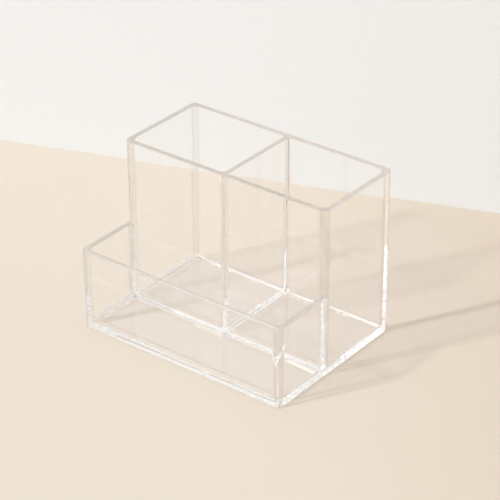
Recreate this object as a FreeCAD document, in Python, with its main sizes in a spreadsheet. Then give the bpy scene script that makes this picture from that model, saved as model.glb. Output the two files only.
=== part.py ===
import FreeCAD, Part
import math
import os

import Sketcher

# Clear pen holder: two tall cells at the back, one low tray across the front.
# Millimetres, +Z up, X along the width, -Y towards the tray.
# The origin is the middle of the underside.

# Driving dimensions, in millimetres, each with what it measures
DIMENSIONS = [
    ("Width", "136.5", "overall width, along X"),
    ("Depth", "99.5", "overall depth, along Y"),
    ("Height", "100.0", "height of the two tall cells"),
    ("TrayHeight", "49.0", "height of the front tray"),
    ("TrayRun", "39.2", "from the tray's front face to the middle wall's front face"),
    ("Wall", "3.0", "thickness of the outer walls and the middle wall"),
    ("DividerWall", "2.5", "thickness of the divider between its coves"),
    ("HeadReach", "6.0", "from the divider's middle to the end of its T-heads"),
    ("FloorThickness", "3.0", "thickness of the floor inside the compartments"),
    ("BaseHeight", "6.0", "top of the base's ribs, where the walls stand"),
    ("OuterRadius", "3.5", "upright corners, outside"),
    ("InnerRadius", "3.0", "upright corners, inside, and the recesses' corners"),
    ("DividerCove", "1.5", "upright coves where the divider meets the walls"),
    ("FloorCove", "2.5", "coves where the floor meets the ribs"),
    ("BluntEdge", "0.25", "least thickness left where a curve runs out"),
    ("TallRim", "0.5", "softening of the tall part's top edges"),
    ("TrayRim", "1.0", "rounding of the tray's top edges"),
    ("FootRadius", "0.6", "rounding of the base's lower edge"),
]


def write_sheet(doc):
    sheet = doc.addObject("Spreadsheet::Sheet", "Dimensions")
    for row, (alias, value, meaning) in enumerate(DIMENSIONS, start=1):
        sheet.set(f"A{row}", meaning)
        sheet.set(f"B{row}", value)
        sheet.setAlias(f"B{row}", alias)
    doc.recompute()
    return sheet


def size(alias):
    """The expression that reads one driving dimension."""
    return f"Dimensions.{alias}"


def run_out(radius):
    """How far before its tangent point an arc stops, to leave a blunt edge."""
    return f"sqrt({radius} ^ 2 - ({radius} - {size('BluntEdge')}) ^ 2)"


# Lines that the pieces share, seen from above, as expressions on the sheet
SIDE = f"{size('Width')} / 2"
SIDE_INSIDE = f"({SIDE} - {size('Wall')})"
TRAY_FRONT = f"-{size('Depth')} / 2"
TRAY_FRONT_INSIDE = f"{TRAY_FRONT} + {size('Wall')}"
MIDDLE_FRONT = f"{TRAY_FRONT} + {size('TrayRun')}"
MIDDLE_BACK = f"{MIDDLE_FRONT} + {size('Wall')}"
BACK = f"{size('Depth')} / 2"
BACK_INSIDE = f"{BACK} - {size('Wall')}"
DIVIDER_FACE = f"{size('DividerWall')} / 2"
HEAD_END = size("HeadReach")
WALL_HEIGHT = f"{size('Height')} - {size('BaseHeight')}"
TRAY_WALL_HEIGHT = f"{size('TrayHeight')} - {size('BaseHeight')}"
RECESS_DEPTH = f"{size('BaseHeight')} - {size('FloorThickness')}"


def sketch_at(body, name, height):
    """A sketch parallel to the body's XY plane, at a height given as an expression."""
    plane = next(f for f in body.Origin.OriginFeatures if f.Role == "XY_Plane")
    sketch = body.newObject("Sketcher::SketchObject", name)
    sketch.AttachmentSupport = [(plane, "")]
    sketch.MapMode = "FlatFace"
    sketch.setExpression("AttachmentOffset.Base.z", height)
    return sketch


def bind(sketch, constraint, expression):
    index = sketch.addConstraint(constraint)
    sketch.setExpression(f"Constraints[{index}]", expression)


def draw_outline(sketch, corners):
    """Draws one closed outline of straight runs along X and Y.

    Each corner is (x, y, radius), all expressions, and radius is None where it is sharp.
    """
    sheet = sketch.Document.getObject("Dimensions")
    count = len(corners)
    points = []
    radii = []
    for x, y, radius in corners:
        points.append(FreeCAD.Vector(float(sheet.evalExpression(x)), float(sheet.evalExpression(y)), 0))
        radii.append(float(sheet.evalExpression(radius)) if radius else 0.0)
    runs = []
    headings = []
    for i in range(count):
        j = (i + 1) % count
        heading = (points[j] - points[i]).normalize()
        start = points[i] + heading * radii[i]
        end = points[j] - heading * radii[j]
        run = sketch.addGeometry(Part.LineSegment(start, end), False)
        along_x = abs(heading.x) > abs(heading.y)
        sketch.addConstraint(Sketcher.Constraint("Horizontal" if along_x else "Vertical", run))
        if along_x:
            bind(sketch, Sketcher.Constraint("DistanceY", -1, 1, run, 1, start.y), corners[i][1])
        else:
            bind(sketch, Sketcher.Constraint("DistanceX", -1, 1, run, 1, start.x), corners[i][0])
        runs.append(run)
        headings.append(heading)
    for i in range(count):
        before, after = runs[i - 1], runs[i]
        if not corners[i][2]:
            sketch.addConstraint(Sketcher.Constraint("Coincident", before, 2, after, 1))
            continue
        came, goes, radius = headings[i - 1], headings[i], radii[i]
        centre = points[i] - came * radius + goes * radius
        turns_left = came.cross(goes).z > 0
        first = -goes if turns_left else came
        angle = math.atan2(first.y, first.x)
        circle = Part.Circle(centre, FreeCAD.Vector(0, 0, 1), radius)
        arc = sketch.addGeometry(Part.ArcOfCircle(circle, angle, angle + math.pi / 2), False)
        enters, leaves = (1, 2) if turns_left else (2, 1)
        sketch.addConstraint(Sketcher.Constraint("Tangent", before, 2, arc, enters))
        sketch.addConstraint(Sketcher.Constraint("Tangent", arc, leaves, after, 1))
        bind(sketch, Sketcher.Constraint("Radius", arc, radius), corners[i][2])


def pad(body, name, sketch, length):
    feature = body.newObject("PartDesign::Pad", name)
    feature.Profile = sketch
    feature.setExpression("Length", length)
    sketch.Visibility = False
    body.Document.recompute()
    return feature


def pocket(body, name, sketch, depth):
    """Cuts downwards from the sketch, and stops the build where nothing was cut."""
    before = body.Shape.Volume
    feature = body.newObject("PartDesign::Pocket", name)
    feature.Profile = sketch
    feature.setExpression("Length", depth)
    sketch.Visibility = False
    body.Document.recompute()
    if body.Shape.Volume >= before:
        raise RuntimeError(f"{name} cut nothing from {body.Label}")
    return feature


def round_edges(body, name, base, wanted, radius):
    """Rounds those edges of the last feature that the test picks."""
    edges = [f"Edge{i}" for i, edge in enumerate(base.Shape.Edges, start=1) if wanted(edge)]
    feature = body.newObject("PartDesign::Fillet", name)
    feature.Base = (base, edges)
    feature.setExpression("Radius", radius)
    body.Document.recompute()
    return feature


def level(edge, height):
    box = edge.BoundBox
    return abs(box.ZMin - height) < 1e-4 and abs(box.ZMax - height) < 1e-4


def new_body(doc, name):
    body = doc.addObject("PartDesign::Body", name)
    body.Label = name
    return body


# Base plate: floor with three coved recesses, and a rib under every wall
def make_base_plate(doc):
    body = new_body(doc, "base_plate")
    outline = sketch_at(body, "base_outline", "0")
    outer = size("OuterRadius")
    draw_outline(outline, [
        (f"-{SIDE}", TRAY_FRONT, outer),
        (SIDE, TRAY_FRONT, outer),
        (SIDE, BACK, outer),
        (f"-{SIDE}", BACK, outer),
    ])
    pad(body, "base_slab", outline, size("BaseHeight"))

    inner = size("InnerRadius")
    recesses = sketch_at(body, "recess_outlines", size("BaseHeight"))
    draw_outline(recesses, [
        (f"-{SIDE_INSIDE}", TRAY_FRONT_INSIDE, inner),
        (SIDE_INSIDE, TRAY_FRONT_INSIDE, inner),
        (SIDE_INSIDE, MIDDLE_FRONT, inner),
        (f"-{SIDE_INSIDE}", MIDDLE_FRONT, inner),
    ])
    for side in ("-", ""):
        draw_outline(recesses, [
            (f"{side}{SIDE_INSIDE}", MIDDLE_BACK, inner),
            (f"{side}{DIVIDER_FACE}", MIDDLE_BACK, inner),
            (f"{side}{DIVIDER_FACE}", BACK_INSIDE, inner),
            (f"{side}{SIDE_INSIDE}", BACK_INSIDE, inner),
        ])
    cut = pocket(body, "recesses", recesses, RECESS_DEPTH)
    floor = float(doc.getObject("Dimensions").FloorThickness)
    coved = round_edges(body, "floor_coves", cut, lambda edge: level(edge, floor), size("FloorCove"))
    round_edges(body, "foot_edge", coved, lambda edge: level(edge, 0), size("FootRadius"))
    return body


# Shell: one sheet bent to a U round a tall cell, open towards the divider
def make_shell(doc, name, side):
    body = new_body(doc, name)
    outline = sketch_at(body, f"{name}_outline", size("BaseHeight"))
    outer = size("OuterRadius")
    inner = size("InnerRadius")
    draw_outline(outline, [
        (f"{side}{HEAD_END}", BACK, None),
        (f"{side}{SIDE}", BACK, outer),
        (f"{side}{SIDE}", MIDDLE_FRONT, outer),
        (f"{side}{HEAD_END}", MIDDLE_FRONT, None),
        (f"{side}{HEAD_END}", MIDDLE_BACK, None),
        (f"{side}{SIDE_INSIDE}", MIDDLE_BACK, inner),
        (f"{side}{SIDE_INSIDE}", BACK_INSIDE, inner),
        (f"{side}{HEAD_END}", BACK_INSIDE, None),
    ])
    walls = pad(body, f"{name}_walls", outline, WALL_HEIGHT)
    butt = float(doc.getObject("Dimensions").HeadReach)
    soften_rim(body, walls, "TallRim", lambda edge: abs(abs(edge.CenterOfMass.x) - butt) > 1e-4)
    return body


# Divider: the wall between the cells, with a coved T-head at each end
def make_divider(doc):
    body = new_body(doc, "divider")
    outline = sketch_at(body, "divider_outline", size("BaseHeight"))
    cove = size("DividerCove")
    draw_outline(outline, [
        (f"-{HEAD_END}", MIDDLE_FRONT, None),
        (HEAD_END, MIDDLE_FRONT, None),
        (HEAD_END, MIDDLE_BACK, None),
        (DIVIDER_FACE, MIDDLE_BACK, cove),
        (DIVIDER_FACE, BACK_INSIDE, cove),
        (HEAD_END, BACK_INSIDE, None),
        (HEAD_END, BACK, None),
        (f"-{HEAD_END}", BACK, None),
        (f"-{HEAD_END}", BACK_INSIDE, None),
        (f"-{DIVIDER_FACE}", BACK_INSIDE, cove),
        (f"-{DIVIDER_FACE}", MIDDLE_BACK, cove),
        (f"-{HEAD_END}", MIDDLE_BACK, None),
    ])
    walls = pad(body, "divider_section", outline, WALL_HEIGHT)
    butt = float(doc.getObject("Dimensions").HeadReach)
    soften_rim(body, walls, "TallRim", lambda edge: abs(abs(edge.CenterOfMass.x) - butt) > 1e-4)
    return body


# Tray wrap: one low sheet bent round the tray, its ends coped to the tall corners
def make_tray_wrap(doc):
    body = new_body(doc, "tray_wrap")
    outer = size("OuterRadius")
    inner = size("InnerRadius")
    rear_end = f"{MIDDLE_FRONT} + {outer} - {run_out(outer)}"
    ring = sketch_at(body, "tray_ring", size("BaseHeight"))
    draw_outline(ring, [
        (f"-{SIDE}", TRAY_FRONT, outer),
        (SIDE, TRAY_FRONT, outer),
        (SIDE, rear_end, None),
        (f"-{SIDE}", rear_end, None),
    ])
    draw_outline(ring, [
        (f"-{SIDE_INSIDE}", TRAY_FRONT_INSIDE, inner),
        (SIDE_INSIDE, TRAY_FRONT_INSIDE, inner),
        (SIDE_INSIDE, MIDDLE_FRONT, inner),
        (f"-{SIDE_INSIDE}", MIDDLE_FRONT, inner),
    ])
    walls = pad(body, "tray_walls", ring, TRAY_WALL_HEIGHT)
    rear = max(edge.CenterOfMass.y for edge in walls.Shape.Edges)
    soften_rim(body, walls, "TrayRim", lambda edge: abs(edge.CenterOfMass.y - rear) > 1e-4)

    # The tall part's outline, taken out of the ring, with the thin tips of the rear coves
    toe = f"({SIDE_INSIDE} - {inner} + {run_out(inner)})"
    toe_trim = f"{MIDDLE_FRONT} - {size('BluntEdge')} * 2"
    past_ring = f"{MIDDLE_FRONT} + {outer} * 3"
    cope = sketch_at(body, "tall_corner_outline", size("TrayHeight"))
    draw_outline(cope, [
        (f"-{SIDE}", MIDDLE_FRONT, outer),
        (f"-{toe}", MIDDLE_FRONT, None),
        (f"-{toe}", toe_trim, None),
        (toe, toe_trim, None),
        (toe, MIDDLE_FRONT, None),
        (SIDE, MIDDLE_FRONT, outer),
        (SIDE, past_ring, None),
        (f"-{SIDE}", past_ring, None),
    ])
    pocket(body, "rear_copes", cope, TRAY_WALL_HEIGHT)
    return body


def soften_rim(body, base, radius, wanted):
    """Rounds the top edges that the test picks."""
    top = base.Shape.BoundBox.ZMax
    round_edges(body, f"{body.Label}_rim", base, lambda e: level(e, top) and wanted(e), size(radius))


def check(doc, bodies):
    for obj in doc.Objects:
        bad = [word for word in obj.State if word in ("Invalid", "Error")]
        if bad:
            raise RuntimeError(f"{obj.Name} is {bad}")
    for body in bodies:
        shape = body.Shape
        if shape.isNull() or not shape.isValid() or len(shape.Solids) != 1:
            raise RuntimeError(f"{body.Label} isn't one valid solid")


def main():
    doc = FreeCAD.newDocument("pen_holder")
    write_sheet(doc)
    bodies = [
        make_base_plate(doc),
        make_shell(doc, "left_shell", "-"),
        make_shell(doc, "right_shell", ""),
        make_divider(doc),
        make_tray_wrap(doc),
    ]
    doc.recompute()
    check(doc, bodies)
    os.makedirs("parts", exist_ok=True)
    for body in bodies:
        body.Shape.exportStep(f"parts/{body.Label}.step")
        box = body.Shape.BoundBox
        print(body.Label, round(body.Shape.Volume), "mm3",
              [round(v, 2) for v in (box.XMin, box.YMin, box.ZMin, box.XMax, box.YMax, box.ZMax)])


main()
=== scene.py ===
import math
from types import SimpleNamespace

import bmesh
import bpy
from bpy.props import FloatProperty, FloatVectorProperty, IntProperty, PointerProperty
from mathutils import Matrix, Quaternion, Vector


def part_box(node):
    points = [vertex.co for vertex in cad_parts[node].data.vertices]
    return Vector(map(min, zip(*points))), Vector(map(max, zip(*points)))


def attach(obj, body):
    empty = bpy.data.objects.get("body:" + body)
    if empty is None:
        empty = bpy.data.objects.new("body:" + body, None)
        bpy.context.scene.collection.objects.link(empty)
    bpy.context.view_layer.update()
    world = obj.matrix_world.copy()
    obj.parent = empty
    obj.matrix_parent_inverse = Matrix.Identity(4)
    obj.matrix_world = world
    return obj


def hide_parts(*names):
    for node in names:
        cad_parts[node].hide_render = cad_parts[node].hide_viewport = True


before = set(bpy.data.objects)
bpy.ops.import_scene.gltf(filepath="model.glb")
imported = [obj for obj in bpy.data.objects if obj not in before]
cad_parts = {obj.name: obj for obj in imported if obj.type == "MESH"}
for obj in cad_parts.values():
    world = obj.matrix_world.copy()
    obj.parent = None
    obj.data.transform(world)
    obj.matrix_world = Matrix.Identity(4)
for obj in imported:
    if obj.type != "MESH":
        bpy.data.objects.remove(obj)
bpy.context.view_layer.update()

bl_info = {
    "name": "Clear Pen Holder",
    "version": (1, 0, 0),
    "blender": (4, 5, 0),
    "location": "3D View > Sidebar > Pen Holder",
    "description": "Builds a clear acrylic pen holder with two tall cells and a low front tray",
    "category": "Add Mesh",
}

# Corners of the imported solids, which place every piece
BASE_LOW, BASE_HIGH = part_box("base_plate")
SHELL_LOW, SHELL_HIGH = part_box("right_shell")
DIVIDER_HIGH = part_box("divider")[1]
TRAY_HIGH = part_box("tray_wrap")[1]

# Points nearer than this, in metres, count as one point
TOLERANCE = 1e-6

# Straight steps in the small curves
TALL_RIM_STEPS = 4
TRAY_RIM_STEPS = 8
FLOOR_COVE_STEPS = 12
FOOT_STEPS = 6
COPED_END_STEPS = 20
TOE_STEPS = 8

# A face whose normal has a smaller largest part than this is part of a bend
FLAT_NORMAL = 0.9999
# Faces whose normal leans up or down by less than this stand upright
UPRIGHT_LEAN = 0.01
# Upright faces whose normal points back by more than this can lie on the tall part
POINTS_BACK = 0.2
# Faces that turn by more than this meet in a crisp edge
SHARP_ANGLE = math.radians(25)

# Material slot of the faces that lie against another piece
JOINT = 1

# Share of the rim mark, which sets the rims' painted shade, from which an edge is also hazed
HAZED_FROM = 0.05
# The rims' haze comes in grains this much below and above its mean
HAZE_SPREAD = 0.2
# Cloud value from which the sheet shows a wiping mark
MARKED_FROM = 0.7
# How fast a face turns into a mirror as light comes along it
GLANCING_POWER = 5

# Noise keeps near its middle, so this part of it is spread over the whole range
NOISE_RANGE = (0.3, 0.7)

# Paint on the table and the wall behind
PAINT_GLOSS = 0.2
PAINT_ROUGHNESS = (0.55, 0.65)
PAINT_GRAIN = 0.0015
PAINT_RELIEF = 0.00003
PAINT_CLOUD = 0.985

# Heights between which the room turns from skirting to wall, as angles
WALL_FOOT = math.radians(5)
WALL_TOP = math.radians(30)
# Share of the window's reach that is at full glow
WINDOW_CORE = 0.4

# The table lies this far under the base, so that the two faces stay apart
TABLE_GAP = 0.0003
# How far the stage reaches, in metres, which is past all that a camera sees
TABLE_DEPTH = 4
STAGE_OVERHANG = 3
BACKDROP_HEIGHT = 3

# Light crosses many faces of clear sheet before it leaves the holder
LIGHT_BOUNCES = 64
CLEAR_FACES = 48


class HolderSizes(bpy.types.PropertyGroup):
    """Thicknesses and radii of the clear sheet."""

    wall: FloatProperty(
        name="Wall", description="Thickness of the outer walls and the middle wall",
        default=0.003, min=0.002, max=0.008, unit="LENGTH", subtype="DISTANCE")
    divider_wall: FloatProperty(
        name="Divider", description="Thickness of the divider between its coves",
        default=0.0025, min=0.002, max=0.008, unit="LENGTH", subtype="DISTANCE")
    floor: FloatProperty(
        name="Floor", description="Thickness of the floor inside the compartments",
        default=0.003, min=0.002, max=0.005, unit="LENGTH", subtype="DISTANCE")
    outer_radius: FloatProperty(
        name="Outer corner", description="Radius of the upright corners, outside",
        default=0.0035, min=0.001, max=0.01, unit="LENGTH", subtype="DISTANCE")
    inner_radius: FloatProperty(
        name="Inner corner", description="Radius of the upright corners, inside",
        default=0.003, min=0.001, max=0.01, unit="LENGTH", subtype="DISTANCE")
    divider_cove: FloatProperty(
        name="Divider cove", description="Radius where the divider meets the walls",
        default=0.0015, min=0.001, max=0.004, unit="LENGTH", subtype="DISTANCE")
    floor_cove: FloatProperty(
        name="Floor cove", description="Radius where the floor meets the ribs",
        default=0.0025, min=0.001, max=0.0029, unit="LENGTH", subtype="DISTANCE")
    tall_rim: FloatProperty(
        name="Tall rim", description="Softening of the tall part's top edges",
        default=0.0005, min=0.0001, max=0.001, unit="LENGTH", subtype="DISTANCE")
    tray_rim: FloatProperty(
        name="Tray rim", description="Rounding of the tray's top edges",
        default=0.001, min=0.0004, max=0.0014, unit="LENGTH", subtype="DISTANCE")
    foot: FloatProperty(
        name="Foot", description="Rounding of the base's lower edge",
        default=0.0006, min=0.0002, max=0.002, unit="LENGTH", subtype="DISTANCE")
    blunt_edge: FloatProperty(
        name="Blunt edge", description="Thickness left where a curve runs out",
        default=0.00025, min=0.0001, max=0.001, unit="LENGTH", subtype="DISTANCE")
    arc_steps: IntProperty(
        name="Arc steps", description="Straight steps in a quarter turn",
        default=20, min=6, max=48)


class AcrylicFinish(bpy.types.PropertyGroup):
    """Finish of the clear sheet, and the light that it lets through."""

    refraction: FloatProperty(
        name="Refraction", description="Refractive index of cast acrylic",
        default=1.49, min=1.3, max=1.7)
    tint: FloatVectorProperty(
        name="Tint", description="Colour of the clear sheet",
        default=(1.0, 1.0, 1.0), min=0.0, max=1.0, subtype="COLOR")
    # The corner and slant tints are partly the sheet's own colour and partly painted shade for the
    # darker room seen through the corners
    corner_tint_and_shade: FloatVectorProperty(
        name="Corner tint",
        description="Colour of the upright corners and coves, seen square on",
        default=(0.98, 0.962, 0.943), min=0.0, max=1.0, subtype="COLOR")
    slant_tint_and_shade: FloatVectorProperty(
        name="Slant tint",
        description="Colour of the upright corners and coves, seen along the sheet",
        default=(0.52, 0.525, 0.545), min=0.0, max=1.0, subtype="COLOR")
    # The rim tint is painted shade: the top edges are darkened for the dim table seen down through
    # the walls
    rim_painted_shade: FloatVectorProperty(
        name="Rim tint", description="Colour of the top edges",
        default=(0.8, 0.775, 0.755), min=0.0, max=1.0, subtype="COLOR")
    rim_haze: FloatProperty(
        name="Rim haze", description="Roughness of the top edges",
        default=0.35, min=0.0, max=0.6, subtype="FACTOR")
    # Shares of the rims' painted shade on the tray's sides and on its front
    tray_side_rim: FloatProperty(
        name="Tray's side rims", description="Share of the rim tint on the tray's two sides",
        default=0.7, min=0.0, max=1.0, subtype="FACTOR")
    tray_front_rim: FloatProperty(
        name="Tray's front rim", description="Share of the rim tint on the tray's front",
        default=0.1, min=0.0, max=1.0, subtype="FACTOR")
    mark_haze: FloatProperty(
        name="Mark haze", description="Roughness of faint wiping marks on the faces",
        default=0.02, min=0.0, max=0.3, subtype="FACTOR")
    wave: FloatProperty(
        name="Wave", description="Height of the sheet's soft waves",
        default=0.00002, min=0.0, max=0.001, unit="LENGTH", subtype="DISTANCE")
    wave_size: FloatProperty(
        name="Wave size", description="Size of the sheet's soft waves and wiping marks",
        default=0.03, min=0.001, max=0.2, unit="LENGTH", subtype="DISTANCE")
    grain_size: FloatProperty(
        name="Grain size", description="Size of the grain in the rims' haze",
        default=0.0008, min=0.0001, max=0.01, unit="LENGTH", subtype="DISTANCE")
    shade: FloatVectorProperty(
        name="Shade", description="Window light that one flat face lets through",
        default=(0.97, 0.965, 0.985), min=0.0, max=1.0, subtype="COLOR")
    bend_shade: FloatVectorProperty(
        name="Bend shade", description="Window light that one curved face lets through",
        default=(0.52, 0.42, 0.33), min=0.0, max=1.0, subtype="COLOR")
    slant_shade: FloatVectorProperty(
        name="Slant shade",
        description="Window light that a face lets through where it comes along the face",
        default=(0.0, 0.0, 0.0), min=0.0, max=1.0, subtype="COLOR")
    sky_shade: FloatVectorProperty(
        name="Sky shade", description="Even light that one flat face lets through",
        default=(0.997, 0.995, 1.0), min=0.0, max=1.0, subtype="COLOR")
    bend_sky_shade: FloatVectorProperty(
        name="Bend sky shade", description="Even light that one curved face lets through",
        default=(0.87, 0.84, 0.81), min=0.0, max=1.0, subtype="COLOR")


class StudioSettings(bpy.types.PropertyGroup):
    """Table, backdrop, light and camera."""

    table: FloatVectorProperty(
        name="Table", description="Colour of the table top",
        default=(0.82, 0.736, 0.635), min=0.0, max=1.0, subtype="COLOR")
    # Painted shade: the table's far side is darkened as if the window light fell off there
    table_painted_falloff: FloatVectorProperty(
        name="Table fade", description="Share of its colour that the far side of the table keeps",
        default=(0.91, 0.88, 0.85), min=0.0, max=1.0, subtype="COLOR")
    table_clouds: FloatProperty(
        name="Table clouds", description="Size of the soft clouds in the table's paint",
        default=0.15, min=0.01, max=2.0, unit="LENGTH", subtype="DISTANCE")
    backdrop: FloatVectorProperty(
        name="Backdrop", description="Colour of the wall behind",
        default=(0.868, 0.895, 0.91), min=0.0, max=1.0, subtype="COLOR")
    # Painted shade: the wall's far side is darkened as if the window light fell off there
    backdrop_painted_falloff: FloatVectorProperty(
        name="Backdrop fade", description="Share of its colour that the far side of the wall keeps",
        default=(0.97, 0.96, 0.95), min=0.0, max=1.0, subtype="COLOR")
    backdrop_clouds: FloatProperty(
        name="Backdrop clouds", description="Size of the soft clouds in the wall's paint",
        default=0.4, min=0.01, max=2.0, unit="LENGTH", subtype="DISTANCE")
    # Way and places of the painted falloff of window light on the table and the wall
    painted_falloff_way: FloatVectorProperty(
        name="Fade way", description="Way along the table in which it gets darker",
        default=(0.787, 0.617, 0), subtype="DIRECTION")
    painted_falloff_start: FloatProperty(
        name="Fade start", description="Place along that way where it starts to get darker",
        default=-0.02, unit="LENGTH", subtype="DISTANCE")
    painted_falloff_end: FloatProperty(
        name="Fade end", description="Place along that way where it is darkest",
        default=0.2, unit="LENGTH", subtype="DISTANCE")
    wall_left: FloatVectorProperty(
        name="Wall left", description="Point at the left on the line where table and wall meet",
        default=(-0.2671, 0.0896, 0), unit="LENGTH", subtype="TRANSLATION")
    wall_right: FloatVectorProperty(
        name="Wall right", description="Point at the right on the line where table and wall meet",
        default=(0.0459, 0.2020, 0), unit="LENGTH", subtype="TRANSLATION")
    room: FloatVectorProperty(
        name="Room", description="Colour of the even light from all round",
        default=(0.985, 0.99, 1.0), min=0.0, max=1.0, subtype="COLOR")
    sky: FloatProperty(
        name="Sky", description="Strength of the even light from all round",
        default=0.665, min=0.0, max=2.0)
    walls: FloatProperty(
        name="Walls", description="Brightness of the room in the clear sheet",
        default=1.0, min=0.0, max=2.0)
    skirting: FloatProperty(
        name="Skirting", description="Brightness low down in the room in the clear sheet",
        default=0.6, min=0.0, max=2.0)
    window: FloatVectorProperty(
        name="Window", description="Way from the holder to the middle of the window",
        default=(-0.35, -0.66, 0.62), subtype="DIRECTION")
    window_reach: FloatProperty(
        name="Window reach",
        description="Angle from the window's middle to where its light fades out",
        default=math.radians(45), min=0.05, max=3.0, unit="ROTATION", subtype="ANGLE")
    window_glow: FloatProperty(
        name="Window glow", description="Brightness of the window above that of the room",
        default=0.5, min=0.0, max=10.0)
    sun: FloatProperty(
        name="Sun", description="Strength of the window light",
        default=1.7, min=0.0, max=5.0)
    sun_colour: FloatVectorProperty(
        name="Sun colour", description="Colour of the window light",
        default=(1.0, 0.975, 0.945), min=0.0, max=1.0, subtype="COLOR")
    sun_softness: FloatProperty(
        name="Sun softness", description="Angle across the window light",
        default=math.radians(4.0), min=0.0, max=0.5, unit="ROTATION", subtype="ANGLE")
    sun_heading: FloatVectorProperty(
        name="Sun heading", description="Way in which the window light travels",
        default=(0.397, 0.717, -0.574), subtype="DIRECTION")
    azimuth: FloatProperty(
        name="Azimuth", description="Angle of the camera round the holder, from the front",
        default=math.radians(38.104), unit="ROTATION", subtype="ANGLE")
    elevation: FloatProperty(
        name="Elevation", description="Angle of the camera above the table",
        default=math.radians(29.671), unit="ROTATION", subtype="ANGLE")
    roll: FloatProperty(
        name="Roll", description="Tilt of the camera about its own line of sight",
        default=math.radians(-0.332), unit="ROTATION", subtype="ANGLE")
    distance: FloatProperty(
        name="Distance", description="From the camera to the point that it aims at",
        default=1.1462, unit="LENGTH", subtype="DISTANCE")
    aim: FloatVectorProperty(
        name="Aim", description="Point in the middle of the picture",
        default=(-0.00671, 0.0218, 0.03737), unit="LENGTH", subtype="TRANSLATION")
    lens: FloatProperty(
        name="Lens", description="Focal length on a 36 mm wide sensor",
        default=148.608, min=10.0, max=400.0, unit="CAMERA")


# Lines and outlines

def plan():
    """The lines that the pieces share, in metres."""
    sizes = bpy.context.scene.holder_sizes
    inside = BASE_HIGH.x - sizes.wall
    return SimpleNamespace(
        side=BASE_HIGH.x,
        inside=inside,
        front=BASE_LOW.y,
        front_inside=BASE_LOW.y + sizes.wall,
        middle_front=SHELL_LOW.y,
        middle_back=SHELL_LOW.y + sizes.wall,
        back=BASE_HIGH.y,
        back_inside=BASE_HIGH.y - sizes.wall,
        head_end=DIVIDER_HIGH.x,
        divider_face=sizes.divider_wall / 2,
        tray_end=TRAY_HIGH.y,
        toe=inside - sizes.inner_radius + run_out(sizes.inner_radius, sizes.blunt_edge),
        base_top=BASE_HIGH.z,
        tray_top=TRAY_HIGH.z,
        tall_top=SHELL_HIGH.z,
    )


def run_out(radius, thickness):
    """How far before its tangent point an arc has this thickness left under it."""
    return math.sqrt(radius ** 2 - (radius - thickness) ** 2)


class Outline:
    """A flat outline drawn from runs and arcs, as with a pen."""

    def __init__(self, bm, height, x, y):
        self.bm = bm
        self.height = height
        self.steps = bpy.context.scene.holder_sizes.arc_steps
        self.tip = bm.verts.new((x, y, height))

    def run(self, x, y):
        """Draws a straight run to a point."""
        self.tip = bmesh.ops.extrude_vert_indiv(self.bm, verts=[self.tip])["verts"][0]
        self.tip.co = (x, y, self.height)

    def turn(self, x, y, degrees, steps=None):
        """Draws an arc about a centre, anticlockwise where the angle is above 0."""
        steps = steps or max(2, round(self.steps * abs(degrees) / 90))
        arc = bmesh.ops.spin(
            self.bm, geom=[self.tip], cent=(x, y, self.height), axis=(0, 0, 1), dvec=(0, 0, 0),
            angle=math.radians(degrees), steps=steps, use_merge=False, use_duplicate=False)
        self.tip = arc["geom_last"][0]


def half_rounded_frame(bm, height, side, front, back, radius):
    """Draws the right half of a rounded rectangle."""
    half = Outline(bm, height, 0, front)
    half.run(side - radius, front)
    half.turn(side - radius, front + radius, 90)
    half.run(side, back - radius)
    half.turn(side - radius, back - radius, 90)
    half.run(0, back)


# Mesh steps that several pieces share

def near(value, wanted):
    return abs(value - wanted) < TOLERANCE


def upright(face):
    return abs(face.normal.z) < UPRIGHT_LEAN


def all_at(face, axis, value):
    return all(near(v.co[axis], value) for v in face.verts)


def edges_at(bm, height):
    return [e for e in bm.edges if all(near(v.co.z, height) for v in e.verts)]


def only(kind, geometry):
    """The vertices or the edges among the geometry that an operator made."""
    return [g for g in geometry if isinstance(g, kind)]


def mirror_across(bm):
    """Adds the left half to the right half."""
    bmesh.ops.mirror(
        bm, geom=bm.verts[:] + bm.edges[:] + bm.faces[:], matrix=Matrix.Identity(4),
        merge_dist=TOLERANCE, axis="X")


def join_ends(bm):
    bmesh.ops.remove_doubles(bm, verts=bm.verts[:], dist=TOLERANCE)


def raise_walls(bm, height):
    """Fills the outline and raises it to a height, with the underside left closed."""
    face = bmesh.ops.contextual_create(bm, geom=bm.edges[:])["faces"][0]
    raised = bmesh.ops.extrude_face_region(bm, geom=[face], use_keep_orig=True)["geom"]
    for vertex in only(bmesh.types.BMVert, raised):
        vertex.co.z = height
    bmesh.ops.recalc_face_normals(bm, faces=bm.faces[:])


def bevel(bm, edges, radius, steps):
    bmesh.ops.bevel(
        bm, geom=edges, offset=radius, offset_type="OFFSET", segments=steps, profile=0.5,
        affect="EDGES", material=-1, clamp_overlap=False)


def mark_rim(bm, top, rounding, share):
    """Gives the top faces and their rounding a share of the rim mark, which sets their painted
    shade and their haze.
    """
    edge = bm.faces.layers.float.new("edge")
    low = top - rounding - TOLERANCE
    for face in bm.faces:
        face[edge] = share(face) if all(v.co.z > low for v in face.verts) else 0


def finish_tall_rim(bm, lines):
    """Rounds the top edges, except along the butt faces, and gives them the rim mark for painted
    shade and haze.
    """
    radius = bpy.context.scene.holder_sizes.tall_rim
    edges = [
        e for e in edges_at(bm, lines.tall_top)
        if not all(near(abs(v.co.x), lines.head_end) for v in e.verts)]
    bevel(bm, edges, radius, TALL_RIM_STEPS)
    mark_rim(bm, lines.tall_top, radius, lambda face: 1)


def mark_joints(bm, on_joint):
    """Gives the joint material to the faces that lie against another piece."""
    for face in bm.faces:
        if on_joint(face):
            face.material_index = JOINT


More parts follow.
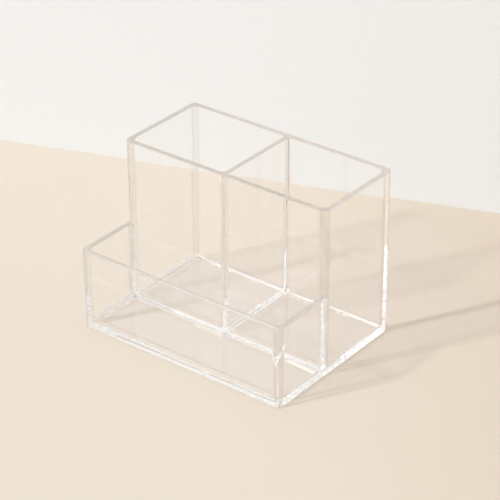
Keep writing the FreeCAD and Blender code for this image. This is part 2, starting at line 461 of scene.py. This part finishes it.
def finish_piece(bm, name, node):
    """Makes the mesh a piece that stands for a solid."""
    bend = bm.faces.layers.float.new("bend")
    corner = bm.faces.layers.float.new("corner")
    for face in bm.faces:
        face.smooth = True
        face[bend] = float(max(abs(part) for part in face.normal) < FLAT_NORMAL)
        face[corner] = face[bend] if upright(face) else 0
    mesh = bpy.data.meshes.new(name)
    bm.to_mesh(mesh)
    bm.free()
    mesh.set_sharp_from_angle(angle=SHARP_ANGLE)
    mesh.materials.append(clear_acrylic())
    mesh.materials.append(cemented_joint())
    piece = bpy.data.objects.new(name, mesh)
    bpy.context.scene.collection.objects.link(piece)
    flats = piece.modifiers.new("even_flats", "WEIGHTED_NORMAL")
    flats.mode = "FACE_AREA"
    flats.keep_sharp = True
    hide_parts(node)
    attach(piece, "root")


# Materials

class NodeSheet:
    """Adds nodes to a tree, with short ways for those that a material repeats."""

    def __init__(self, tree):
        self.nodes = tree.nodes
        self.links = tree.links

    def add(self, kind, **values):
        node = self.nodes.new("ShaderNode" + kind)
        for name, value in values.items():
            setattr(node, name, value)
        return node

    def feed(self, socket, source):
        """Links a source to a socket, or sets the socket to a value."""
        if isinstance(source, bpy.types.NodeSocket):
            self.links.new(source, socket)
        elif isinstance(source, (int, float)) or len(source) == len(socket.default_value):
            socket.default_value = source
        else:
            socket.default_value = (*source, 1)

    def mask(self, name):
        return self.add("Attribute", attribute_name=name).outputs["Fac"]

    def variation(self, clouds, grain):
        """Adds the shared clouds and grain, at sizes in metres."""
        node = self.add("Group", node_tree=surface_variation())
        node.inputs["Clouds Size"].default_value = clouds
        node.inputs["Grain Size"].default_value = grain
        return node.outputs["Clouds"], node.outputs["Grain"]

    def bump(self, height, depth):
        node = self.add("Bump")
        node.inputs["Distance"].default_value = depth
        self.feed(node.inputs["Height"], height)
        return node.outputs["Normal"]

    def maths(self, operation, first, second):
        node = self.add("Math", operation=operation)
        self.feed(node.inputs[0], first)
        self.feed(node.inputs[1], second)
        return node.outputs["Value"]

    def along(self, vector, way):
        """Measures a vector along a fixed way."""
        node = self.add("VectorMath", operation="DOT_PRODUCT")
        self.feed(node.inputs[0], vector)
        self.feed(node.inputs[1], way)
        return node.outputs["Value"]

    def spread(self, value, low, high, start=0.0, end=1.0, kind="LINEAR"):
        """Maps a range of values on another, and holds them there."""
        node = self.add("MapRange", interpolation_type=kind)
        for socket, given in zip(node.inputs, (value, low, high, start, end)):
            self.feed(socket, given)
        return node.outputs["Result"]

    def blend(self, factor, start, end, kind="RGBA"):
        mix = self.add("Mix", data_type=kind)
        self.feed(mix.inputs["Factor"], factor)
        ends = [[i for i in mix.inputs if i.name == letter and i.enabled][0] for letter in "AB"]
        self.feed(ends[0], start)
        self.feed(ends[1], end)
        return [o for o in mix.outputs if o.enabled][0]

    def shader_mix(self, factor, start, end):
        mix = self.add("MixShader")
        self.feed(mix.inputs["Fac"], factor)
        self.feed(mix.inputs[1], start)
        self.feed(mix.inputs[2], end)
        return mix.outputs["Shader"]

    def show(self, surface):
        self.feed(self.add("OutputMaterial").inputs["Surface"], surface)


def new_material(name):
    material = bpy.data.materials.new(name)
    material.use_nodes = True
    material.node_tree.nodes.clear()
    return material


def surface_variation():
    """Soft clouds and a fine grain, which every material reads at its own sizes."""
    made = bpy.data.node_groups.get("surface_variation")
    if made:
        return made
    group = bpy.data.node_groups.new("surface_variation", "ShaderNodeTree")
    tree = NodeSheet(group)
    sizes_in = group.nodes.new("NodeGroupInput")
    masks_out = group.nodes.new("NodeGroupOutput")
    place = tree.add("TexCoord").outputs["Object"]
    for name, size, detail in (("Clouds", 0.05, 2), ("Grain", 0.001, 1)):
        size_name = name + " Size"
        socket = group.interface.new_socket(
            size_name, in_out="INPUT", socket_type="NodeSocketFloat")
        socket.default_value = size
        group.interface.new_socket(name, in_out="OUTPUT", socket_type="NodeSocketFloat")
        noise = tree.add("TexNoise")
        noise.inputs["Detail"].default_value = detail
        tree.feed(noise.inputs["Vector"], place)
        scale = tree.maths("DIVIDE", 1.0, sizes_in.outputs[size_name])
        tree.feed(noise.inputs["Scale"], scale)
        tree.feed(masks_out.inputs[name], tree.spread(noise.outputs["Fac"], *NOISE_RANGE))
    return group


def clear_acrylic():
    """Clear sheet that bends what is seen through it, and tints the light that falls through."""
    made = bpy.data.materials.get("clear_acrylic_sheet")
    if made:
        return made
    finish = bpy.context.scene.acrylic_finish
    material = new_material("clear_acrylic_sheet")
    tree = NodeSheet(material.node_tree)
    sheet = tree.add("BsdfPrincipled")
    sheet.inputs["IOR"].default_value = finish.refraction
    sheet.inputs["Transmission Weight"].default_value = 1

    # Faces are colourless. Corners get a tint that deepens along the sheet, partly the sheet's own
    # colour over a long path and partly painted shade for the darker room seen through them, and
    # rims get a painted shade of their own
    rim = tree.mask("edge")
    slant = tree.add("LayerWeight").outputs["Facing"]
    in_corner = tree.blend(slant, finish.corner_tint_and_shade, finish.slant_tint_and_shade)
    colour = tree.blend(tree.mask("corner"), finish.tint, in_corner)
    # The rims take their painted shade, which stands in for the dim table seen down the walls
    tree.feed(sheet.inputs["Base Color"], tree.blend(rim, colour, finish.rim_painted_shade))

    # Rims are hazed all over, and faces only in sparse marks
    marks, grain = tree.variation(finish.wave_size, finish.grain_size)
    least, most = finish.rim_haze * (1 - HAZE_SPREAD), finish.rim_haze * (1 + HAZE_SPREAD)
    on_rim = tree.maths("GREATER_THAN", rim, HAZED_FROM)
    rim_haze = tree.maths("MULTIPLY", on_rim, tree.blend(grain, least, most, "FLOAT"))
    wiped = tree.spread(marks, MARKED_FROM, 1, 0, finish.mark_haze)
    tree.feed(sheet.inputs["Roughness"], tree.maths("ADD", rim_haze, wiped))
    tree.feed(sheet.inputs["Normal"], tree.bump(marks, finish.wave))

    # Window light and even light fall straight through, in place of bent and focused light
    bend = tree.mask("bend")
    window_light = tree.add("BsdfTransparent")
    mirrored = tree.maths("POWER", slant, GLANCING_POWER)
    let_through = tree.blend(bend, finish.shade, finish.bend_shade)
    tree.feed(
        window_light.inputs["Color"], tree.blend(mirrored, let_through, finish.slant_shade))
    even_light = tree.add("BsdfTransparent")
    tree.feed(
        even_light.inputs["Color"], tree.blend(bend, finish.sky_shade, finish.bend_sky_shade))

    path = tree.add("LightPath").outputs
    seen = tree.shader_mix(
        path["Is Diffuse Ray"], sheet.outputs["BSDF"], even_light.outputs["BSDF"])
    tree.show(tree.shader_mix(path["Is Shadow Ray"], seen, window_light.outputs["BSDF"]))
    return material


def cemented_joint():
    """Joint faces that vanish, because cement of the same index fills them."""
    made = bpy.data.materials.get("cemented_joint")
    if made:
        return made
    material = new_material("cemented_joint")
    tree = NodeSheet(material.node_tree)
    tree.show(tree.add("BsdfTransparent").outputs["BSDF"])
    return material


def matt_paint(name, colour, painted_falloff, clouds, one_sided=False):
    """Matt paint with soft clouds and a fine grain, and a painted shade that darkens it away from
    the window.
    """
    studio = bpy.context.scene.studio_settings
    material = new_material(name)
    tree = NodeSheet(material.node_tree)
    paint = tree.add("BsdfPrincipled")
    paint.inputs["Specular IOR Level"].default_value = PAINT_GLOSS
    cloud, grain = tree.variation(clouds, PAINT_GRAIN)
    clouded = tree.blend(cloud, [channel * PAINT_CLOUD for channel in colour], colour)
    # Painted shade: the colour darkens away from the window, standing in for light that falls off
    painted_falloff_colour = [channel * kept for channel, kept in zip(colour, painted_falloff)]
    place = tree.along(tree.add("TexCoord").outputs["Object"], studio.painted_falloff_way)
    far = tree.spread(place, studio.painted_falloff_start, studio.painted_falloff_end, kind="SMOOTHSTEP")
    tree.feed(paint.inputs["Base Color"], tree.blend(far, clouded, painted_falloff_colour))
    tree.feed(paint.inputs["Roughness"], tree.blend(grain, *PAINT_ROUGHNESS, "FLOAT"))
    tree.feed(paint.inputs["Normal"], tree.bump(grain, PAINT_RELIEF))
    surface = paint.outputs["BSDF"]
    if one_sided:
        behind = tree.add("NewGeometry").outputs["Backfacing"]
        surface = tree.shader_mix(behind, surface, tree.add("BsdfTransparent").outputs["BSDF"])
    tree.show(surface)
    return material


# Pieces

class PENHOLDER_OT_base(bpy.types.Operator):
    """Base plate with three coved recesses and a rib under every wall"""

    bl_idname = "pen_holder.base"
    bl_label = "Base Plate"

    def execute(self, context):
        lines, sizes = plan(), context.scene.holder_sizes
        bm = bmesh.new()
        half_rounded_frame(
            bm, lines.base_top, lines.side, lines.front, lines.back, sizes.outer_radius)
        half_rounded_frame(
            bm, lines.base_top, lines.inside, lines.front_inside, lines.middle_front,
            sizes.inner_radius)
        self.draw_cell(bm, lines, sizes)
        join_ends(bm)
        mirror_across(bm)

        edge_of_base = [
            e for e in bm.edges
            if all(self.on_outside(v.co, lines, sizes) for v in e.verts)]
        recess_edges = [e for e in bm.edges if e not in edge_of_base]
        ledges, arcs = self.find_ledges(recess_edges, lines, sizes.inner_radius)
        seat_edges = [e for e in bm.edges if e not in arcs]
        bmesh.ops.triangle_fill(
            bm, use_beauty=True, use_dissolve=True, edges=seat_edges, normal=(0, 0, 1))
        seats = bm.faces[:]
        for ledge in ledges:
            bmesh.ops.contextual_create(bm, geom=ledge)
            recess_edges = [e for e in recess_edges if e not in ledge or e in arcs]
        self.drop(bm, edge_of_base, lines.base_top)
        floor_edges = self.drop(bm, recess_edges, lines.base_top - sizes.floor)
        bmesh.ops.recalc_face_normals(bm, faces=bm.faces[:])
        for face in seats:
            face.material_index = JOINT
        bevel(bm, floor_edges, sizes.floor_cove, FLOOR_COVE_STEPS)
        bevel(bm, edges_at(bm, 0), sizes.foot, FOOT_STEPS)
        finish_piece(bm, "floor_plate", "base_plate")
        return {"FINISHED"}

    def divider_corners(self, lines):
        """Where the divider's face meets the walls, and the way from there into the cell."""
        return (lines.middle_back, 1), (lines.back_inside, -1)

    def draw_cell(self, bm, lines, sizes):
        """Draws the right cell's wall line, and the recess's wider arcs beside the divider."""
        r, cove = sizes.inner_radius, sizes.divider_cove
        cell = Outline(bm, lines.base_top, lines.divider_face + r, lines.middle_back)
        cell.run(lines.inside - r, lines.middle_back)
        cell.turn(lines.inside - r, lines.middle_back + r, 90)
        cell.run(lines.inside, lines.back_inside - r)
        cell.turn(lines.inside - r, lines.back_inside - r, 90)
        cell.run(lines.divider_face + r, lines.back_inside)
        cell.run(lines.divider_face + cove, lines.back_inside)
        cell.turn(lines.divider_face + cove, lines.back_inside - cove, 90)
        cell.run(lines.divider_face, lines.back_inside - r)
        cell.run(lines.divider_face, lines.middle_back + r)
        cell.run(lines.divider_face, lines.middle_back + cove)
        cell.turn(lines.divider_face + cove, lines.middle_back + cove, 90)
        cell.run(lines.divider_face + r, lines.middle_back)
        for y, inward in self.divider_corners(lines):
            arc = Outline(bm, lines.base_top, lines.divider_face, y + inward * r)
            arc.turn(lines.divider_face + r, y + inward * r, 90 * inward)

    def find_ledges(self, recess_edges, lines, radius):
        """The edges round each ledge between a divider cove and an arc, and all the arcs."""
        ledges, arcs = [], []
        for y, inward in self.divider_corners(lines):
            for side in (-1, 1):
                corner = Vector((side * lines.divider_face, y))
                centre = corner + Vector((side, inward)) * radius
                ledge = [
                    e for e in recess_edges
                    if all(self.within(v, corner, radius) for v in e.verts)]
                ledges.append(ledge)
                arcs += [
                    e for e in ledge
                    if all(near((v.co.xy - centre).length, radius) for v in e.verts)]
        return ledges, arcs

    def within(self, vertex, corner, reach):
        """True where a point lies in the square round a corner."""
        away = vertex.co.xy - corner
        return max(abs(away.x), abs(away.y)) < reach + TOLERANCE

    def on_outside(self, point, lines, sizes):
        """True for a point on the base's own edge."""
        r = sizes.outer_radius
        beside = lines.side - abs(point.x)
        behind = (lines.back - lines.front) / 2 - abs(point.y - (lines.front + lines.back) / 2)
        in_corner = max(beside, behind) < sizes.wall / 2 + r
        on_arc = math.hypot(r - beside, r - behind) > r - TOLERANCE
        return near(beside, 0) or near(behind, 0) or (in_corner and on_arc)

    def drop(self, bm, edges, depth):
        """Extrudes edges downwards, closes them with flat faces and returns the lower edges."""
        made = bmesh.ops.extrude_edge_only(bm, edges=edges)["geom"]
        lowered = set(only(bmesh.types.BMVert, made))
        for vertex in lowered:
            vertex.co.z -= depth
        low = [e for e in only(bmesh.types.BMEdge, made) if all(v in lowered for v in e.verts)]
        bmesh.ops.edgeloop_fill(bm, edges=low)
        return low


class PENHOLDER_OT_shells(bpy.types.Operator):
    """Two U-shaped shells, one round each tall cell"""

    bl_idname = "pen_holder.shells"
    bl_label = "Cell Shells"

    def execute(self, context):
        self.make(context, "left_cell_wall", "left_shell", -1)
        self.make(context, "right_cell_wall", "right_shell", 1)
        return {"FINISHED"}

    def make(self, context, name, node, side):
        """Makes the right shell, or the left one as its mirror image."""
        lines, sizes = plan(), context.scene.holder_sizes
        bm = bmesh.new()
        self.draw_shell(bm, lines, sizes)
        raise_walls(bm, lines.tall_top)
        finish_tall_rim(bm, lines)
        self.split_at_tray_rim(bm, lines, sizes)
        mark_joints(bm, lambda face: (
            all_at(face, 2, lines.base_top)
            or all_at(face, 0, lines.head_end)
            or (self.behind_tray(face, lines)
                and max(v.co.z for v in face.verts) < lines.tray_top + TOLERANCE)))
        if side < 0:
            bmesh.ops.scale(bm, vec=(-1, 1, 1), verts=bm.verts[:])
            bmesh.ops.recalc_face_normals(bm, faces=bm.faces[:])
        finish_piece(bm, name, node)

    def draw_shell(self, bm, lines, sizes):
        """Draws the shell's outline, with points where the tray wall's end covers it."""
        r = sizes.outer_radius
        covered = math.degrees(math.acos((lines.middle_front + r - lines.tray_end) / r))
        wall = Outline(bm, lines.base_top, lines.head_end, lines.middle_front)
        reach = lines.side - r - lines.toe
        for step in range(TOE_STEPS + 1):
            wall.run(lines.toe + reach * step / TOE_STEPS, lines.middle_front)
        wall.turn(lines.side - r, lines.middle_front + r, covered)
        wall.turn(lines.side - r, lines.middle_front + r, 90 - covered)
        wall.run(lines.side, lines.back - r)
        wall.turn(lines.side - r, lines.back - r, 90)
        wall.run(lines.head_end, lines.back)
        wall.run(lines.head_end, lines.back_inside)
        r = sizes.inner_radius
        wall.run(lines.inside - r, lines.back_inside)
        wall.turn(lines.inside - r, lines.back_inside - r, -90)
        wall.run(lines.inside, lines.middle_back + r)
        wall.turn(lines.inside - r, lines.middle_back + r, -90)
        wall.run(lines.head_end, lines.middle_back)
        wall.run(lines.head_end, lines.middle_front)
        join_ends(bm)

    def behind_tray(self, face, lines):
        """True for an upright face that the tray wall's end covers, or reaches part of."""
        return (
            upright(face)
            and all(v.co.x > lines.toe - TOLERANCE for v in face.verts)
            and all(v.co.y < lines.tray_end + TOLERANCE for v in face.verts)
            and min(v.co.z for v in face.verts) < lines.tray_top)

    def split_at_tray_rim(self, bm, lines, sizes):
        """Cuts the covered faces along the tray's rim, because only the part below is a joint."""
        behind = [f for f in bm.faces if self.behind_tray(f, lines)]
        edges = {e for f in behind for e in f.edges}
        vertices = {v for f in behind for v in f.verts}
        bmesh.ops.bisect_plane(
            bm, geom=[*behind, *edges, *vertices], dist=TOLERANCE,
            plane_co=(0, 0, lines.tray_top), plane_no=(0, 0, 1))
        for vertex in bm.verts:
            if near(vertex.co.z, lines.tray_top):
                vertex.co.z = self.tray_rim_height(lines, sizes, vertex.co)

    def tray_rim_height(self, lines, sizes, point):
        """Height of the tray's rounded rim where it meets the tall part."""
        r = sizes.inner_radius
        from_cove = math.hypot(point.x - lines.inside + r, point.y - lines.middle_front + r) - r
        inset = max(0, min(lines.side - point.x, from_cove, sizes.tray_rim))
        return lines.tray_top - sizes.tray_rim + run_out(sizes.tray_rim, inset)


class PENHOLDER_OT_divider(bpy.types.Operator):
    """Upright divider with a coved T-head at each end"""

    bl_idname = "pen_holder.divider"
    bl_label = "Cell Divider"

    def execute(self, context):
        lines = plan()
        cove = context.scene.holder_sizes.divider_cove
        bm = bmesh.new()
        half = Outline(bm, lines.base_top, 0, lines.middle_front)
        half.run(lines.head_end, lines.middle_front)
        half.run(lines.head_end, lines.middle_back)
        half.run(lines.divider_face + cove, lines.middle_back)
        half.turn(lines.divider_face + cove, lines.middle_back + cove, -90)
        half.run(lines.divider_face, lines.back_inside - cove)
        half.turn(lines.divider_face + cove, lines.back_inside - cove, -90)
        half.run(lines.head_end, lines.back_inside)
        half.run(lines.head_end, lines.back)
        half.run(0, lines.back)
        mirror_across(bm)
        raise_walls(bm, lines.tall_top)
        finish_tall_rim(bm, lines)
        mark_joints(bm, lambda face: (
            all_at(face, 2, lines.base_top)
            or all_at(face, 0, lines.head_end)
            or all_at(face, 0, -lines.head_end)))
        finish_piece(bm, "cell_divider", "divider")
        return {"FINISHED"}


class PENHOLDER_OT_tray(bpy.types.Operator):
    """Low wall of the front tray, with its ends coped to the tall corners"""

    bl_idname = "pen_holder.tray"
    bl_label = "Tray Wall"

    def execute(self, context):
        lines, sizes = plan(), context.scene.holder_sizes
        finish = context.scene.acrylic_finish
        bm = bmesh.new()
        layers = [self.draw_half(bm, 0, lines.base_top)]
        for step in range(TRAY_RIM_STEPS + 1):
            angle = math.radians(90 * step / TRAY_RIM_STEPS)
            inset = sizes.tray_rim * (1 - math.cos(angle))
            height = lines.tray_top - sizes.tray_rim * (1 - math.sin(angle))
            layers.append(self.draw_half(bm, inset, height))
        # The rounding has to fade to nothing along both coped ends, which no bevel does
        for lower, upper in zip(layers, layers[1:]):
            for i in range(1, len(lower)):
                bm.faces.new((lower[i - 1], lower[i], upper[i], upper[i - 1]))
        bm.faces.new(layers[0])
        bm.faces.new(layers[-1])
        join_ends(bm)
        mirror_across(bm)
        bmesh.ops.recalc_face_normals(bm, faces=bm.faces[:])

        side_start = lines.front_inside + sizes.inner_radius
        mark_rim(bm, lines.tray_top, sizes.tray_rim, lambda face: (
            finish.tray_side_rim if face.calc_center_median().y > side_start
            else finish.tray_front_rim))
        mark_joints(bm, lambda face: (
            all_at(face, 2, lines.base_top) or self.on_tall_part(face, lines)))
        finish_piece(bm, "tray_wall", "tray_wrap")
        return {"FINISHED"}

    def on_tall_part(self, face, lines):
        """True for a face of the coped ends, apart from the narrow blunt edge at the back."""
        return (
            upright(face) and face.normal.y > POINTS_BACK
            and all(v.co.y > lines.middle_front - TOLERANCE for v in face.verts)
            and all(abs(v.co.x) > lines.toe - TOLERANCE for v in face.verts)
            and not all_at(face, 1, lines.tray_end))

    def draw_half(self, bm, inset, height):
        """Draws the right half of the outline, drawn in from both faces, as a row of points."""
        lines, sizes = plan(), bpy.context.scene.holder_sizes
        before = len(bm.verts)
        r = sizes.outer_radius
        tip = max(inset, sizes.blunt_edge)
        tip_end = lines.middle_front + r - run_out(r, tip)
        covered = math.degrees(math.acos(run_out(r, tip) / r))
        half = Outline(bm, height, 0, lines.front + inset)
        half.run(lines.side - r, lines.front + inset)
        half.turn(lines.side - r, lines.front + r, 90)
        half.run(lines.side - inset, tip_end)
        half.run(lines.side - tip, tip_end)
        half.turn(lines.side - r, lines.middle_front + r, -covered, COPED_END_STEPS)

        # Inside, the rounding first takes the toe's thickness and then shortens the toe
        r = sizes.inner_radius
        across_toe = run_out(r, sizes.blunt_edge)
        toe = lines.toe
        toe_end = lines.middle_front - r + math.sqrt(max(0, (r + inset) ** 2 - across_toe ** 2))
        if toe_end > lines.middle_front:
            toe_end = lines.middle_front
            toe = lines.inside - r + math.sqrt((r + inset) ** 2 - r ** 2)
        half.run(toe, lines.middle_front)
        half.run(toe, toe_end)
        toe_arc = math.degrees(math.asin((toe_end - lines.middle_front + r) / (r + inset)))
        half.turn(lines.inside - r, lines.middle_front - r, -toe_arc, COPED_END_STEPS)
        half.run(lines.inside + inset, lines.front_inside + r)
        half.turn(lines.inside - r, lines.front_inside + r, -90)
        half.run(0, lines.front_inside - inset)
        return bm.verts[before:]


# Stage

def swept_sheet(name, start, end, sweep, material):
    """A flat part of the stage, which a line sweeps over."""
    bm = bmesh.new()
    line = bmesh.ops.extrude_vert_indiv(bm, verts=[bm.verts.new(start)])
    line["verts"][0].co = end
    swept = bmesh.ops.extrude_edge_only(bm, edges=line["edges"])["geom"]
    bmesh.ops.translate(bm, vec=sweep, verts=only(bmesh.types.BMVert, swept))
    mesh = bpy.data.meshes.new(name)
    bm.to_mesh(mesh)
    bm.free()
    mesh.materials.append(material)
    surface = bpy.data.objects.new(name, mesh)
    bpy.context.scene.collection.objects.link(surface)


def room_light(studio):
    """Even light, in which the clear sheet shows bright walls and a wide window."""
    world = bpy.data.worlds.new("room_light")
    world.use_nodes = True
    world.cycles.sampling_method = "NONE"
    tree = NodeSheet(world.node_tree)
    way = tree.add("TexCoord").outputs["Generated"]
    height = tree.add("SeparateXYZ")
    tree.feed(height.inputs["Vector"], way)
    walls = tree.spread(
        height.outputs["Z"], math.sin(WALL_FOOT), math.sin(WALL_TOP),
        studio.skirting, studio.walls, "SMOOTHSTEP")
    window = tree.spread(
        tree.along(way, Vector(studio.window).normalized()),
        math.cos(studio.window_reach), math.cos(studio.window_reach * WINDOW_CORE),
        0, studio.window_glow, "SMOOTHSTEP")
    seen = tree.maths("ADD", walls, window)

    # The camera and the sheet see the room, and other surfaces get its even light
    path = tree.add("LightPath").outputs
    in_sheet = tree.maths("MAXIMUM", path["Is Glossy Ray"], path["Is Transmission Ray"])
    shown = tree.maths("MAXIMUM", path["Is Camera Ray"], in_sheet)
    room = world.node_tree.nodes["Background"]
    tree.feed(room.inputs["Color"], studio.room)
    tree.feed(room.inputs["Strength"], tree.blend(shown, studio.sky, seen, "FLOAT"))
    return world


class PENHOLDER_OT_stage(bpy.types.Operator):
    """Table, backdrop, lights and camera"""

    bl_idname = "pen_holder.stage"
    bl_label = "Stage"

    def execute(self, context):
        scene = context.scene
        studio = scene.studio_settings
        self.lay_surfaces(studio)
        scene.world = room_light(studio)
        scene.collection.objects.link(self.window_light(studio))
        scene.camera = self.camera(studio)
        scene.collection.objects.link(scene.camera)

        scene.view_settings.view_transform = "Standard"
        cycles = scene.cycles
        cycles.max_bounces = LIGHT_BOUNCES
        cycles.transmission_bounces = LIGHT_BOUNCES
        cycles.glossy_bounces = LIGHT_BOUNCES
        cycles.transparent_max_bounces = CLEAR_FACES
        cycles.use_denoising = True
        cycles.filter_width = 2
        return {"FINISHED"}

    def lay_surfaces(self, studio):
        """Lays the table up to the wall's line, and stands the backdrop on that line."""
        left, right = Vector(studio.wall_left), Vector(studio.wall_right)
        along = (right - left).normalized()
        to_camera = Vector((along.y, -along.x, 0))
        sink = Vector((0, 0, -TABLE_GAP))
        start, end = left - along * STAGE_OVERHANG + sink, right + along * STAGE_OVERHANG + sink
        table = matt_paint(
            "table_paint", studio.table, studio.table_painted_falloff, studio.table_clouds)
        swept_sheet("table_top", start, end, to_camera * TABLE_DEPTH, table)
        wall = matt_paint(
            "wall_paint", studio.backdrop, studio.backdrop_painted_falloff, studio.backdrop_clouds,
            one_sided=True)
        # From right to left, so that its front is on the camera's side
        swept_sheet("backdrop", end, start, Vector((0, 0, BACKDROP_HEIGHT)), wall)

    def window_light(self, studio):
        lamp = bpy.data.lights.new("window_light", "SUN")
        lamp.energy = studio.sun
        lamp.angle = studio.sun_softness
        lamp.color = studio.sun_colour
        window = bpy.data.objects.new("window_light", lamp)
        window.rotation_euler = Vector(studio.sun_heading).to_track_quat("-Z", "Y").to_euler()
        return window

    def camera(self, studio):
        lens = bpy.data.cameras.new("camera")
        lens.sensor_width = 36
        lens.lens = studio.lens
        camera = bpy.data.objects.new("camera", lens)
        a, e = studio.azimuth, studio.elevation
        back = Vector((math.sin(a) * math.cos(e), -math.cos(a) * math.cos(e), math.sin(e)))
        camera.location = Vector(studio.aim) + back * studio.distance
        camera.rotation_mode = "QUATERNION"
        level = back.to_track_quat("Z", "Y")
        camera.rotation_quaternion = level @ Quaternion((0, 0, 1), studio.roll)
        return camera


class PENHOLDER_PT_panel(bpy.types.Panel):
    """Lists the pen holder's steps and settings"""

    bl_idname = "PENHOLDER_PT_panel"
    bl_label = "Pen Holder"
    bl_space_type = "VIEW_3D"
    bl_region_type = "UI"
    bl_category = "Pen Holder"

    def draw(self, context):
        scene = context.scene
        for step in STEPS:
            self.layout.operator(step.bl_idname)
        for group in (scene.holder_sizes, scene.acrylic_finish, scene.studio_settings):
            box = self.layout.box()
            for name in group.__annotations__:
                box.prop(group, name)


STEPS = (
    PENHOLDER_OT_base,
    PENHOLDER_OT_shells,
    PENHOLDER_OT_divider,
    PENHOLDER_OT_tray,
    PENHOLDER_OT_stage,
)
CLASSES = (HolderSizes, AcrylicFinish, StudioSettings, *STEPS, PENHOLDER_PT_panel)


def register():
    for cls in CLASSES:
        bpy.utils.register_class(cls)
    bpy.types.Scene.holder_sizes = PointerProperty(type=HolderSizes)
    bpy.types.Scene.acrylic_finish = PointerProperty(type=AcrylicFinish)
    bpy.types.Scene.studio_settings = PointerProperty(type=StudioSettings)


def unregister():
    del bpy.types.Scene.studio_settings
    del bpy.types.Scene.acrylic_finish
    del bpy.types.Scene.holder_sizes
    for cls in reversed(CLASSES):
        bpy.utils.unregister_class(cls)


def main():
    register()
    bpy.ops.pen_holder.base()
    bpy.ops.pen_holder.shells()
    bpy.ops.pen_holder.divider()
    bpy.ops.pen_holder.tray()
    bpy.ops.pen_holder.stage()


if __name__ == "__main__":
    main()
